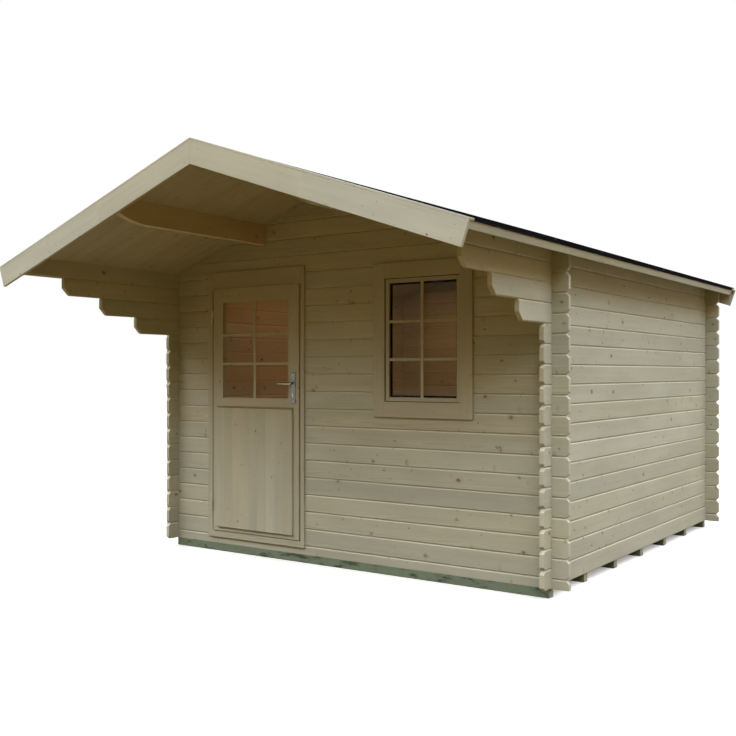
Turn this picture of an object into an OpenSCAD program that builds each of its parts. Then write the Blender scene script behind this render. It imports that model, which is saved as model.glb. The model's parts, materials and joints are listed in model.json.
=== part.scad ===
// Log cabin with a deep front canopy: walls of notched logs that interlock at the corners, a low gable
// roof under black felt, a half-glazed door and a fixed window. Millimetres.
// X runs to the right, Y to the back and Z up. The origin is on the ground, under the middle of the walls.

/* [Cabin] */
// Width over the side walls
cabin_w = 3000; // [2940:10:3200]
// Depth over the front and back walls
cabin_d = 3080; // [2700:20:3400]
// Reach of the roof in front of the front wall
canopy = 1337; // [1280:1:1400]
// Reach of the side walls behind the back wall
rear_out = 60; // [50:1:90]
// Roof pitch in degrees
pitch = 19; // [17:0.5:21]

/* [Logs] */
// Height covered by one log
log_h = 115; // [114:0.5:119]
// Thickness of a log
log_t = 28; // [26:1:34]
// Logs added to a side wall above those that reach the top of the door frame
spare_courses = 0; // [0:1:1]
// Reach of a log end past the wall that it crosses
end_out = 103; // [80:1:120]
// Corner cut off each log end
end_cut = 21; // [8:1:24]
// Bevel along each edge of a log
edge_bevel = 7; // [3:0.5:8]
// Reach of the lowest corbel past the front wall
corbel_first = 411; // [380:1:440]
// Step from one corbel to the next
corbel_step = 306; // [270:1:315]
// Corner cut under each corbel
corbel_cut = 48; // [30:1:55]

/* [Roof] */
// Thickness of the roof boards
deck_t = 18; // [16:1:22]
// Thickness of the felt
felt_t = 6; // [3:0.5:8]
// Reach of the roof boards past the side walls, along the slope
eave_out = 176; // [150:1:200]
// Width of a bargeboard
barge_w = 124; // [115:1:135]
// Thickness of the bargeboards and fascias
barge_t = 19; // [16:1:22]
// Width of the cap strip on each bargeboard
cap_w = 49; // [40:1:60]
// Thickness of the cap strip
cap_t = 12; // [10:1:18]
// Width of the eave fascia
fascia_w = 40; // [36:1:50]
// Distance of each purlin from the middle
purlin_x = 648; // [560:1:700]
// Thickness of a purlin
purlin_t = 45; // [40:1:58]
// Height of a purlin
purlin_h = 132; // [105:1:140]

/* [Floor] */
// Width and height of a bearer
bearer = 55; // [45:1:70]
// Largest distance between bearer centres
bearer_pitch = 510; // [400:10:600]
// Thickness of the floor boards
floor_t = 19; // [18:1:22]

/* [Door] */
// Width of the door leaf
leaf_w = 787; // [740:1:800]
// Height of the door leaf
leaf_h = 1715; // [1680:1:1725]
// Thickness of the door leaf
leaf_t = 40; // [36:1:44]
// Distance of the door frame from the left wall's outer face
door_inset = 341; // [320:1:390]
// Width of the leaf's stiles and top rail
stile_w = 92; // [85:1:100]
// Height of the sill of the glazed part above the leaf's bottom
glazing_z = 946; // [900:1:960]

/* [Window] */
// Width of the window over its trim
window_w = 712; // [640:1:740]
// Height of the window over its trim
window_h = 968; // [900:1:1000]
// Distance of the window trim from the right wall's outer face
window_inset = 499; // [470:1:540]
// Width of the upright trim boards
trim_w = 84; // [75:1:95]
// Width of the trim boards above and below the window
trim_rail_w = 97; // [85:1:105]

/* [Hidden] */
$fn = 48;

SPRUCE = [0.80, 0.73, 0.58];
SPRUCE_TRIM = [0.84, 0.78, 0.64];
GREEN_WOOD = [0.33, 0.39, 0.30];
FELT = [0.08, 0.08, 0.09];
STEEL = [0.62, 0.64, 0.66];
GLASS = [0.75, 0.82, 0.84, 0.35];

// Clear of every piece, for cutting tools
FAR = 6000;
PROUD = 1;

// Wall faces, measured from the middle
wall_x = cabin_w / 2;
wall_y = cabin_d / 2;
in_x = wall_x - log_t;
in_y = wall_y - log_t;

// Tongue and groove between logs
tongue_w = 8;
tongue_h = 6;
tongue_play = 0.3;

// Door heights above the wall's foot, which stands on the bearers
play = 5;
groove = 12;
sill_z = log_h / 2 - groove;
sill_w = 44.5;
head_w = 120;
leaf_z = sill_z + sill_w + play;
leaf_top = leaf_z + leaf_h;
frame_top = leaf_top + play + head_w;

// Wall heights: the side walls are as many logs tall as the door frame needs
top_trim = 15;
frame_in_logs = (frame_top + top_trim) / log_h;
part_log = 0.01;
courses = ceil(frame_in_logs - part_log) + spare_courses;
eave_z = courses * log_h - top_trim;
ridge_z = eave_z + wall_x * tan(pitch);
least_gable_log = 35;
top_end_log = ceil((ridge_z - least_gable_log) / log_h - 1.5);

// Roof, measured along the slope and square to it from the underside of the boards
slope_wall = wall_x / cos(pitch);
deck_s = slope_wall + eave_out;
fascia_t = barge_t;
fascia_s = deck_s + fascia_t;
felt_lip = 4;
felt_s = fascia_s + felt_lip;
barge_past = 21;
barge_s = fascia_s + barge_past;
barge_low = deck_t - barge_w;
roof_front = -wall_y - canopy;
roof_back = wall_y + rear_out + barge_t;
deck_front = roof_front + barge_t;
deck_back = wall_y + rear_out;
roof_seam = 0.05;

purlin_z = ridge_z - purlin_x * tan(pitch) - purlin_h;
purlin_rise = 62;
purlin_curve = 260;
purlin_steps = 8;

bearer_span = cabin_d - bearer;
bearer_count = ceil(bearer_span / bearer_pitch / 2) * 2 + 1;
floor_play = 2;

// Door frame: jambs grooved over the log ends, the one with the hinges wider, and the play around the leaf
frame_proud = 16;
hinge_jamb_w = 54;
lock_jamb_w = 30;
stop_w = 20;
lock_play = 7;
leaf_proud = 23;
frame_w = hinge_jamb_w + play + leaf_w + lock_play + lock_jamb_w;
door_left = -wall_x + door_inset;
door_right = door_left + frame_w;
door_mid = door_left + frame_w / 2;
leaf_left = door_left + hinge_jamb_w + play;
leaf_right = leaf_left + leaf_w;
leaf_front = -wall_y - leaf_proud;
leaf_back = leaf_front + leaf_t;
frame_front = -wall_y - frame_proud;
frame_back = -in_y + frame_proud;
stop_front = leaf_back + play;
stop_seam = 0.5;

// Door leaf: rails, the proud lower panel and the hardware
mid_rail_h = 70;
mid_rail_z = leaf_z + glazing_z - mid_rail_h;
bottom_rail_h = 110;
panel_t = 18;
panel_edge = 46;
panel_foot = 31;
panel_inner_t = 12;
glass_t = 4;
glass_setback = 16;
plate_w = 40;
plate_h = 214;
plate_t = 6;
plate_drop = 32;
plate_z = leaf_z + glazing_z - plate_drop;
handle_in = 47;
handle_x = leaf_right - handle_in;
lever_rise = 137;
lever_z = plate_z + lever_rise;
spindle_r = 5;
spindle_play = 0.05;
neck_r = 9;
neck_l = 34;
lever_l = 108;
lever_w = 18;
lever_t = 12;
lever_seat = 0.3;
hinge_side = 10;
hinge_ahead = 7;
hinge_x = leaf_left - hinge_side;
hinge_y = leaf_front - hinge_ahead;
hinge_r = 7;
hinge_pin_r = 4;
hinge_pin_play = 0.05;
hinge_half = 54;
hinge_washer = 1;
hinge_flag = 4;
hinge_flag_in = 20;
hinge_foot = 205;
hinge_head = 202;
hinge_zs = [leaf_z + hinge_foot, leaf_top - hinge_head];

// Window: lining boards in the wall, trim on both faces, and a fixed sash
trim_t = 16;
lining_t = 20;
sash_w = 29;
sash_t = 40;
sash_setback = 10;
pane_t = 14;
window_right = wall_x - window_inset;
window_left = window_right - window_w;
window_drop = 27;
window_top = frame_top - window_drop;
window_z = window_top - window_h;
sash_left = window_left + trim_w;
sash_right = window_right - trim_w;
sash_z = window_z + trim_rail_w;
sash_top = window_top - trim_rail_w;
sash_front = frame_front + sash_setback;

// Foot of an end wall log: these courses sit half a log above those of the side walls
function end_log_z(k) = (k + 0.5) * log_h;
// An end wall log crosses the side walls if its neck fits under the eaves
function crosses(k) = end_log_z(k) + 0.75 * log_h <= eave_z;
// The doorway parts a front log in two if it takes the log's whole height
function is_parted(k) = k >= 0 && end_log_z(k) + log_h <= frame_top - groove;
function is_corbel(k) = k >= courses - 4;
// Front end of a side wall log: plain, then three corbels, then the top log that carries the canopy
function side_log_front(k) =
    k == courses - 1 ? deck_front
    : is_corbel(k) ? -wall_y - corbel_first - (k - courses + 4) * corbel_step
    : -wall_y - end_out;
// Side outline of a log from a to b, with the corners cut off at its foot and head
function log_outline(a, b, foot_a, head_a, foot_b, head_b) = concat(
    [[a + foot_a, -PROUD], [b - foot_b, -PROUD], [b - foot_b, 0], [b, foot_b]],
    head_b > 0 ? [[b, log_h - head_b], [b - head_b, log_h]] : [],
    [[b - head_b, log_h + tongue_h + PROUD], [a + head_a, log_h + tongue_h + PROUD]],
    head_a > 0 ? [[a + head_a, log_h], [a, log_h - head_a]] : [],
    [[a, foot_a], [a + foot_a, 0]]
);

module on_bearers() {
    translate([0, 0, bearer]) children();
}

module box(low, high) {
    translate(low) cube(high - low);
}

// Cross-section of a log: bevelled edges, a tongue on top and a groove below
module log_section(grooved) {
    side = log_t / 2;
    g = tongue_w / 2 + tongue_play;
    polygon(concat(
        [[-side, edge_bevel], [edge_bevel - side, 0]],
        grooved ? [[-g, 0], [-g, tongue_h + tongue_play], [g, tongue_h + tongue_play], [g, 0]] : [],
        [[side - edge_bevel, 0], [side, edge_bevel], [side, log_h - edge_bevel], [side - edge_bevel, log_h]],
        [[tongue_w / 2, log_h], [tongue_w / 2, log_h + tongue_h]],
        [[-tongue_w / 2, log_h + tongue_h], [-tongue_w / 2, log_h]],
        [[edge_bevel - side, log_h], [-side, log_h - edge_bevel]]
    ));
}

// A log along X, notched by a quarter of its height above and below where it meets a crossing wall
module notched_log(outline, a, b, crossings, notch_top = true, grooved = true) {
    intersection() {
        translate([a - PROUD, 0, 0])
            rotate([90, 0, 90]) linear_extrude(b - a + 2 * PROUD) log_section(grooved);
        rotate([90, 0, 0]) linear_extrude(log_t + 2 * PROUD, center = true) difference() {
            polygon(outline);
            for (c = crossings) {
                translate([c, -2 * PROUD]) square([log_t, log_h / 4 + 2 * PROUD]);
                if (notch_top) translate([c, 0.75 * log_h]) square([log_t, log_h]);
            }
        }
    }
}

// Everything above the walls' foot and under the roof boards
module under_roof() {
    high = ridge_z - roof_seam;
    low = high - FAR / 2 * tan(pitch);
    rotate([90, 0, 0]) linear_extrude(2 * FAR, center = true)
        polygon([[-FAR / 2, 0], [FAR / 2, 0], [FAR / 2, low], [0, high], [-FAR / 2, low]]);
}

// One log of a side wall, standing on the plane X = 0
module side_log(k) {
    a = side_log_front(k);
    b = wall_y + rear_out;
    foot = is_corbel(k) ? corbel_cut : end_cut;
    head = is_corbel(k) ? 0 : end_cut;
    outline = log_outline(a, b, k == courses - 1 ? 0 : foot, head, end_cut, head);
    translate([0, 0, k * log_h]) rotate([0, 0, 90])
        notched_log(outline, a, b, [-wall_y, in_y], crosses(k), k > 0);
}

module side_wall(side, parity) {
    color(SPRUCE) on_bearers() intersection() {
        for (k = [parity : 2 : courses - 1]) translate([side * (wall_x - log_t / 2), 0, 0]) side_log(k);
        under_roof();
    }
}

// One log of the front or back wall, standing on the plane Y = 0
module end_log(k) {
    reach = crosses(k) ? wall_x + end_out : in_x;
    cut = crosses(k) ? end_cut : 0;
    outline = log_outline(-reach, reach, cut, cut, cut, cut);
    translate([0, 0, end_log_z(k)])
        notched_log(outline, -reach, reach, crosses(k) ? [-wall_x, in_x] : []);
}

module end_logs(ks) {
    intersection() {
        difference() {
            for (k = ks) end_log(k);
            for (side = [-1, 1]) purlin_seat(side);
        }
        under_roof();
    }
}

module purlin_seat(side) {
    x = side * purlin_x;
    box([x - purlin_t / 2, -FAR, purlin_z], [x + purlin_t / 2, FAR, ridge_z]);
}

module back_wall(parity) {
    color(SPRUCE) on_bearers() translate([0, wall_y - log_t / 2, 0])
        end_logs([-parity : 2 : top_end_log]);
}

// The logs end in the frame's grooves, and leave room for the jambs to run from sill to head
module doorway() {
    box([door_left + groove, -FAR, sill_z + groove], [door_right - groove, 0, frame_top - groove]);
    box([door_left + groove, -FAR, sill_z], [door_left + hinge_jamb_w, 0, frame_top]);
    box([door_right - lock_jamb_w, -FAR, sill_z], [door_right - groove, 0, frame_top]);
}

module window_hole() {
    box([sash_left - lining_t, -FAR, sash_z - lining_t], [sash_right + lining_t, 0, sash_top + lining_t]);
}

module front_logs(ks) {
    difference() {
        translate([0, log_t / 2 - wall_y, 0]) end_logs(ks);
        doorway();
        window_hole();
    }
}

// The sill log and the logs above the doorway, which run from corner to corner
module front_long(parity) {
    ks = [for (k = [-1 : top_end_log]) if (!is_parted(k) && abs(k) % 2 == parity) k];
    color(SPRUCE) on_bearers() front_logs(ks);
}

// The logs that the doorway parts, on one side of it
module front_short(side, parity) {
    ks = [for (k = [0 : top_end_log]) if (is_parted(k) && k % 2 == parity) k];
    color(SPRUCE) on_bearers() intersection() {
        front_logs(ks);
        translate([side > 0 ? door_mid : door_mid - FAR, -FAR, 0]) cube([FAR, FAR, FAR]);
    }
}

module bearers() {
    step = bearer_span / (bearer_count - 1);
    half = wall_x - log_t / 2;
    color(GREEN_WOOD) for (i = [0 : bearer_count - 1])
        translate([-half, i * step - wall_y, 0]) cube([2 * half, bearer, bearer]);
}

module floor() {
    x = in_x - floor_play;
    y = in_y - floor_play;
    color(SPRUCE) on_bearers() box([-x, -y, 0], [x, y, floor_t]);
}

// A purlin with its underside curved up at the canopy's edge
module purlin(side) {
    curve = [for (i = [0 : purlin_steps])
        let (t = i / purlin_steps)
        [deck_front + t * purlin_curve, purlin_z + purlin_rise * (1 - t) * (1 - t)]];
    color(SPRUCE) on_bearers() intersection() {
        translate([side * purlin_x - purlin_t / 2, 0, 0])
            rotate([90, 0, 90]) linear_extrude(purlin_t)
            polygon(concat(curve, [[deck_back, purlin_z], [deck_back, ridge_z], [deck_front, ridge_z]]));
        under_roof();
    }
}

// Places a profile drawn along the slope and square to it, and runs it from y0 to y1
module roof_strip(side, outline, y0, y1) {
    on_bearers() mirror([side < 0 ? 1 : 0, 0, 0]) translate([0, y1, ridge_z])
        rotate([0, pitch, 0]) rotate([90, 0, 0]) linear_extrude(y1 - y0) polygon(outline);
}

// A layer of the roof from the ridge, cut plumb there, down to s
function slope_layer(n0, n1, s) = [[-n0 * tan(pitch), n0], [s, n0], [s, n1], [-n1 * tan(pitch), n1]];

module roof_deck(side) {
    color(SPRUCE) roof_strip(side, slope_layer(0, deck_t, deck_s), deck_front, deck_back);
}

module roof_felt(side) {
    color(FELT) roof_strip(side, slope_layer(deck_t, deck_t + felt_t, felt_s),
        roof_front + cap_w + roof_seam, roof_back - cap_w - roof_seam);
}

module bargeboards(side) {
    outline = slope_layer(barge_low, deck_t, barge_s);
    color(SPRUCE_TRIM) roof_strip(side, outline, roof_front, deck_front - roof_seam);
    color(SPRUCE_TRIM) roof_strip(side, outline, deck_back + roof_seam, roof_back);
}

module verge_caps(side) {
    outline = slope_layer(deck_t, deck_t + cap_t, barge_s);
    color(SPRUCE_TRIM) roof_strip(side, outline, roof_front, roof_front + cap_w);
    color(SPRUCE_TRIM) roof_strip(side, outline, roof_back - cap_w, roof_back);
}

module eave_fascia(side) {
    low = deck_t - fascia_w;
    outline = [[deck_s, low], [fascia_s, low], [fascia_s, deck_t], [deck_s, deck_t]];
    color(SPRUCE_TRIM) roof_strip(side, outline, deck_front, deck_back);
}

// Trim boards lie on both faces of the front wall
module on_both_faces() {
    for (y = [frame_front, -in_y]) translate([0, y, 0]) children();
}

module window_trim_sides() {
    color(SPRUCE_TRIM) on_bearers() on_both_faces()
        for (x = [window_left, sash_right]) translate([x, 0, window_z]) cube([trim_w, trim_t, window_h]);
}

module window_trim_rails() {
    color(SPRUCE_TRIM) on_bearers() on_both_faces()
        for (z = [window_z, sash_top])
            translate([sash_left, 0, z]) cube([sash_right - sash_left, trim_t, trim_rail_w]);
}

module window_lining_sides() {
    color(SPRUCE) on_bearers() for (x = [sash_left - lining_t, sash_right])
        box([x, -wall_y, sash_z - lining_t], [x + lining_t, -in_y, sash_top + lining_t]);
}

module window_lining_rails() {
    color(SPRUCE) on_bearers() for (z = [sash_z - lining_t, sash_top])
        box([sash_left, -wall_y, z], [sash_right, -in_y, z + lining_t]);
}

module window_sash_stiles() {
    color(SPRUCE_TRIM) on_bearers() for (x = [sash_left, sash_right - sash_w])
        box([x, sash_front, sash_z], [x + sash_w, sash_front + sash_t, sash_top]);
}

module window_sash_rails() {
    color(SPRUCE_TRIM) on_bearers() for (z = [sash_z, sash_top - sash_w])
        box([sash_left + sash_w, sash_front, z], [sash_right - sash_w, sash_front + sash_t, z + sash_w]);
}

module window_glass() {
    y = sash_front + glass_setback;
    color(GLASS) on_bearers()
        box([sash_left + sash_w, y, sash_z + sash_w], [sash_right - sash_w, y + pane_t, sash_top - sash_w]);
}

// Plan outline of a jamb: a board grooved over the log ends
module jamb_section(jamb_w) {
    front = frame_front + wall_y;
    back = frame_back + wall_y;
    polygon([[0, front], [jamb_w, front], [jamb_w, back], [0, back], [0, log_t], [groove, log_t],
        [groove, 0], [0, 0]]);
}

module door_jambs() {
    color(SPRUCE_TRIM) on_bearers() translate([0, -wall_y, sill_z]) {
        translate([door_left, 0, 0]) linear_extrude(frame_top - sill_z) jamb_section(hinge_jamb_w);
        translate([door_right, 0, 0]) mirror([1, 0, 0])
            linear_extrude(frame_top - sill_z) jamb_section(lock_jamb_w);
    }
}

// A board across the doorway between the jambs, with the wall's logs let into its far edge
module cross_board(z0, z1, slot_z) {
    difference() {
        box([door_left + hinge_jamb_w, frame_front, z0], [door_right - lock_jamb_w, frame_back, z1]);
        box([door_left, -wall_y, slot_z], [door_right, -in_y, slot_z + groove]);
    }
}

module door_head() {
    color(SPRUCE_TRIM) on_bearers() cross_board(frame_top - head_w, frame_top, frame_top - groove);
}

module door_sill() {
    color(SPRUCE_TRIM) on_bearers() cross_board(sill_z, sill_z + sill_w, sill_z);
}

// Strips on the frame that the closed leaf would meet
module door_stops() {
    left = door_left + hinge_jamb_w;
    right = door_right - lock_jamb_w;
    low = sill_z + sill_w;
    high = frame_top - head_w;
    color(SPRUCE) on_bearers() {
        box([left, stop_front, low], [left + stop_w, frame_back, high]);
        box([right - stop_w, stop_front, low], [right, frame_back, high]);
        box([left + stop_w + stop_seam, stop_front, high - stop_w],
            [right - stop_w - stop_seam, frame_back, high]);
    }
}

// Bore for the lever's spindle through the leaf and its plates
module spindle_bore() {
    translate([handle_x, leaf_front - FAR / 2, lever_z])
        rotate([-90, 0, 0]) cylinder(r = spindle_r + spindle_play, h = FAR);
}

module door_stiles() {
    color(SPRUCE_TRIM) on_bearers() difference() {
        for (x = [leaf_left, leaf_right - stile_w])
            box([x, leaf_front, leaf_z], [x + stile_w, leaf_back, leaf_top]);
        spindle_bore();
    }
}

module door_rails() {
    rails = [[leaf_z, bottom_rail_h], [mid_rail_z, mid_rail_h], [leaf_top - stile_w, stile_w]];
    color(SPRUCE_TRIM) on_bearers() for (r = rails)
        box([leaf_left + stile_w, leaf_front, r[0]], [leaf_right - stile_w, leaf_back, r[0] + r[1]]);
}

// Boarding on the lower half of the leaf, backed by a panel between the stiles
module door_panel() {
    color(SPRUCE_TRIM) on_bearers() {
        box([leaf_left + panel_edge, leaf_front - panel_t, leaf_z + panel_foot],
            [leaf_right - panel_edge, leaf_front, mid_rail_z]);
        box([leaf_left + stile_w, leaf_front - PROUD, leaf_z + bottom_rail_h],
            [leaf_right - stile_w, leaf_front + panel_inner_t, mid_rail_z]);
    }
}

module door_glass() {
    y = leaf_front + glass_setback;
    color(GLASS) on_bearers() box([leaf_left + stile_w, y, mid_rail_z + mid_rail_h],
        [leaf_right - stile_w, y + glass_t, leaf_top - stile_w]);
}

module at_hinges() {
    for (z = hinge_zs) translate([hinge_x, hinge_y, z]) children();
}

// The half of each hinge on the frame: a knuckle with its pin, on a flag that meets the jamb
module door_hinge_pins() {
    color(STEEL) on_bearers() at_hinges() {
        translate([0, 0, -hinge_half]) cylinder(r = hinge_r, h = hinge_half);
        cylinder(r = hinge_pin_r, h = hinge_half);
        box([-hinge_flag / 2, 0, -hinge_half], [hinge_flag / 2, frame_front - hinge_y, 0]);
    }
}

// The half of each hinge on the leaf: a knuckle that turns on the pin, and a flag on the leaf's edge
module door_hinge_knuckles() {
    color(STEEL) on_bearers() at_hinges() difference() {
        union() {
            translate([0, 0, hinge_washer]) cylinder(r = hinge_r, h = hinge_half - hinge_washer);
            box([leaf_left - hinge_x - hinge_flag, 0, hinge_washer],
                [leaf_left - hinge_x, leaf_front - hinge_y + hinge_flag_in, hinge_half]);
        }
        cylinder(r = hinge_pin_r + hinge_pin_play, h = 3 * hinge_half, center = true);
    }
}

module door_handle_plates() {
    x = handle_x - plate_w / 2;
    color(STEEL) on_bearers() difference() {
        for (y = [leaf_front - plate_t, leaf_back])
            translate([x, y, plate_z]) cube([plate_w, plate_t, plate_h]);
        spindle_bore();
    }
}

// Outline of a lever arm, from the spindle to its round end
module lever_outline() {
    circle(r = lever_w / 2);
    translate([-lever_l, -lever_w / 2]) square([lever_l, lever_w]);
    translate([-lever_l, 0]) circle(r = lever_w / 2);
}

// Both lever arms on one spindle
module door_lever() {
    out_y = leaf_front - plate_t - lever_seat - neck_l;
    in_y_end = leaf_back + plate_t + lever_seat + neck_l;
    color(STEEL) on_bearers() translate([handle_x, 0, lever_z]) {
        translate([0, out_y, 0]) rotate([-90, 0, 0]) cylinder(r = spindle_r, h = in_y_end - out_y);
        translate([0, out_y, 0]) rotate([-90, 0, 0]) cylinder(r = neck_r, h = neck_l);
        translate([0, in_y_end - neck_l, 0]) rotate([-90, 0, 0]) cylinder(r = neck_r, h = neck_l);
        for (y = [out_y + lever_t, in_y_end])
            translate([0, y, 0]) rotate([90, 0, 0]) linear_extrude(lever_t) lever_outline();
    }
}

bearers();
floor();
side_wall(-1, 0);  // left_wall_even_logs
side_wall(-1, 1);  // left_wall_odd_logs
side_wall(1, 0);  // right_wall_even_logs
side_wall(1, 1);  // right_wall_odd_logs
back_wall(0);  // back_wall_even_logs
back_wall(1);  // back_wall_odd_logs
front_long(0);  // front_long_even_logs
front_long(1);  // front_long_odd_logs
front_short(-1, 0);  // front_left_even_logs
front_short(-1, 1);  // front_left_odd_logs
front_short(1, 0);  // front_right_even_logs
front_short(1, 1);  // front_right_odd_logs
purlin(-1);  // purlin_left
purlin(1);  // purlin_right
roof_deck(-1);  // roof_deck_left
roof_deck(1);  // roof_deck_right
roof_felt(-1);  // roof_felt_left
roof_felt(1);  // roof_felt_right
bargeboards(-1);  // bargeboards_left
bargeboards(1);  // bargeboards_right
verge_caps(-1);  // verge_caps_left
verge_caps(1);  // verge_caps_right
eave_fascia(-1);  // eave_fascia_left
eave_fascia(1);  // eave_fascia_right
window_trim_sides();
window_trim_rails();
window_lining_sides();
window_lining_rails();
window_sash_stiles();
window_sash_rails();
window_glass();
door_jambs();
door_head();
door_sill();
door_stops();
door_stiles();
door_rails();
door_panel();
door_glass();
door_hinge_pins();
door_hinge_knuckles();
door_handle_plates();
door_lever();
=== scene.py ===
# %% [markdown]
# # A log cabin with a deep front canopy
#
# The cabin is made of pale spruce logs, planed and notched so that they interlock at the corners. The
# frame that loads here is the joiner's model, with every log, board and hinge where it belongs. These
# cells give it what a joiner doesn't draw: the grain of the wood, the boards of roof and floor, the
# glazing bars, the felt, the handle and the nails. Everything is in metres, on ground at Z = 0, with the
# front of the cabin towards -Y.

# %% The frame
import json
import math

import bmesh
import bpy
import numpy as np
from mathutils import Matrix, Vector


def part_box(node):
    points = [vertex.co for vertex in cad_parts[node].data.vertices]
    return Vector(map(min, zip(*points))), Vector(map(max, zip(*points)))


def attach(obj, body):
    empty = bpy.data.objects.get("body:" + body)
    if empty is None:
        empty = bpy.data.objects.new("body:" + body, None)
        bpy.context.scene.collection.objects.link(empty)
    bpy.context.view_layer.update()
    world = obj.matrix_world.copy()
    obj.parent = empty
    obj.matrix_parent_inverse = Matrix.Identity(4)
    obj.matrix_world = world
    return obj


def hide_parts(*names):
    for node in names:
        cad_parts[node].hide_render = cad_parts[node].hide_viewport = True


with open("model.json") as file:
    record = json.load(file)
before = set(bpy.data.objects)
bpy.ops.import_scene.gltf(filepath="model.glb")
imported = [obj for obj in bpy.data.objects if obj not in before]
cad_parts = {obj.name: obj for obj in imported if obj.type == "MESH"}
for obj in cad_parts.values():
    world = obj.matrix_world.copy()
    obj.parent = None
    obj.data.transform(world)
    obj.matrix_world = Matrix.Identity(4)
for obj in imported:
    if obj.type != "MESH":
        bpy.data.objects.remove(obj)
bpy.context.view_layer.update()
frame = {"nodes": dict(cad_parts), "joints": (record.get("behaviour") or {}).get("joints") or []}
nodes = frame["nodes"]
rng = np.random.default_rng(19)


def corners(node):
    """The lowest and highest corner of a node, as two arrays."""
    low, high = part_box(node)
    return np.array(low), np.array(high)


# %% [markdown]
# ## Sizes that the pieces share
#
# A roof board is laid along the slope, so its natural directions are down the slope, along the ridge and
# square to the roof. The three unit vectors below give those directions for the right half of the roof.
# For the left half, X changes sign.

# %% Roof directions and log sizes
PITCH = math.radians(19.0)
DECK_T = 0.018
FELT_T = 0.006
LOG_H = 0.115
BEARER = 0.055
HAIR = 0.0002
TOUCH = 0.0001
SIDES = {"right": 1.0, "left": -1.0}

deck_low, deck_high = corners("roof_deck_right")
felt_low, felt_high = corners("roof_felt_right")
RIDGE_Z = deck_high[2] - DECK_T / math.cos(PITCH)
DECK_S = (deck_high[0] - DECK_T * math.sin(PITCH)) / math.cos(PITCH)
FELT_S = (felt_high[0] - (DECK_T + FELT_T) * math.sin(PITCH)) / math.cos(PITCH)
DOWN = np.array([math.cos(PITCH), 0.0, -math.sin(PITCH)])
ALONG = np.array([0.0, 1.0, 0.0])
OUT = np.array([math.sin(PITCH), 0.0, math.cos(PITCH)])


def on_roof(side, s, y, n):
    """A point s down the slope from the ridge, y along the ridge and n above the boards' underside."""
    s, y, n = np.broadcast_arrays(s, y, n)
    flip = np.array([side, 1.0, 1.0])
    ridge = np.array([0.0, 0.0, RIDGE_Z])
    return (s[..., None] * DOWN + y[..., None] * ALONG + n[..., None] * OUT + ridge) * flip


print("roof: ridge at %.3f m, boards %.3f m down the slope" % (RIDGE_Z, DECK_S))

# %% [markdown]
# ## Meshes from arrays
#
# Most of a cabin is sticks: boards, bars and beads with one profile along their length. One function
# takes the profiles as an array and joins neighbouring ones with faces. Each stick also keeps a number
# of its own, called board, so that the wood can give it its own grain.

# %% Mesh helpers
def placed(name, data):
    """A new object in the scene, at the origin."""
    made = bpy.data.objects.new(name, data)
    bpy.context.scene.collection.objects.link(made)
    return made


def new_piece(name, points, faces, material, numbers, body="cabin", smooth=False):
    """A mesh object that rides on a body. numbers is a label with one number for each point."""
    mesh = bpy.data.meshes.new(name)
    mesh.from_pydata(points.reshape(-1, 3).tolist(), [], faces)
    tidy = bmesh.new()
    tidy.from_mesh(mesh)
    bmesh.ops.recalc_face_normals(tidy, faces=tidy.faces)
    tidy.to_mesh(mesh)
    tidy.free()
    label, values = numbers
    kept = mesh.attributes.new(label, "FLOAT", "POINT")
    kept.data.foreach_set("value", np.asarray(values, np.float32).ravel())
    mesh.polygons.foreach_set("use_smooth", np.full(len(mesh.polygons), smooth))
    mesh.materials.append(material)
    piece = placed(name, mesh)
    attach(piece, body)
    print("%s: %d faces" % (name, len(mesh.polygons)))
    return piece


def sticks(name, rings, material, body="cabin", smooth=False):
    """Solid sticks. rings[b, s, p] is point p of section s of stick b.

    Quads join neighbouring sections, and one face closes each end.
    """
    count, sections, size, _ = rings.shape
    index = np.arange(count * sections * size).reshape(count, sections, size)
    after = np.roll(index, -1, axis=2)
    quads = np.stack([index[:, :-1], after[:, :-1], after[:, 1:], index[:, 1:]], axis=-1)
    ends = np.concatenate([index[:, 0, ::-1], index[:, -1]])
    faces = quads.reshape(-1, 4).tolist() + ends.tolist()
    numbers = ("board", np.repeat(rng.uniform(0.0, 100.0, count), sections * size))
    return new_piece(name, rings, faces, material, numbers, body, smooth)


def bars(lows, highs, axis, ease):
    """Rings for straight bars between two corners each, along axis, with all four long edges eased.

    The profile is a rectangle with its corners cut off at 45 degrees, ease deep.
    """
    lows = np.asarray(lows, float)
    highs = np.asarray(highs, float)
    a, b = [i for i in range(3) if i != axis]
    low_a, high_a = lows[:, a, None], highs[:, a, None]
    low_b, high_b = lows[:, b, None], highs[:, b, None]
    in_a, out_a = low_a + ease, high_a - ease
    in_b, out_b = low_b + ease, high_b - ease
    rings = np.zeros((len(lows), 2, 8, 3))
    around_a = np.concatenate([in_a, out_a, high_a, high_a, out_a, in_a, low_a, low_a], 1)
    around_b = np.concatenate([low_b, low_b, in_b, out_b, high_b, high_b, out_b, in_b], 1)
    rings[..., a] = around_a[:, None]
    rings[..., b] = around_b[:, None]
    rings[:, 0, :, axis] = lows[:, axis, None]
    rings[:, 1, :, axis] = highs[:, axis, None]
    return rings


# %% [markdown]
# ## Wiring a finish
#
# A finish is a small graph of nodes. The helper adds one node for each call: a number or colour is set
# on the node's socket, and another node's output is linked to it. The sky is wired in the same way.

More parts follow.
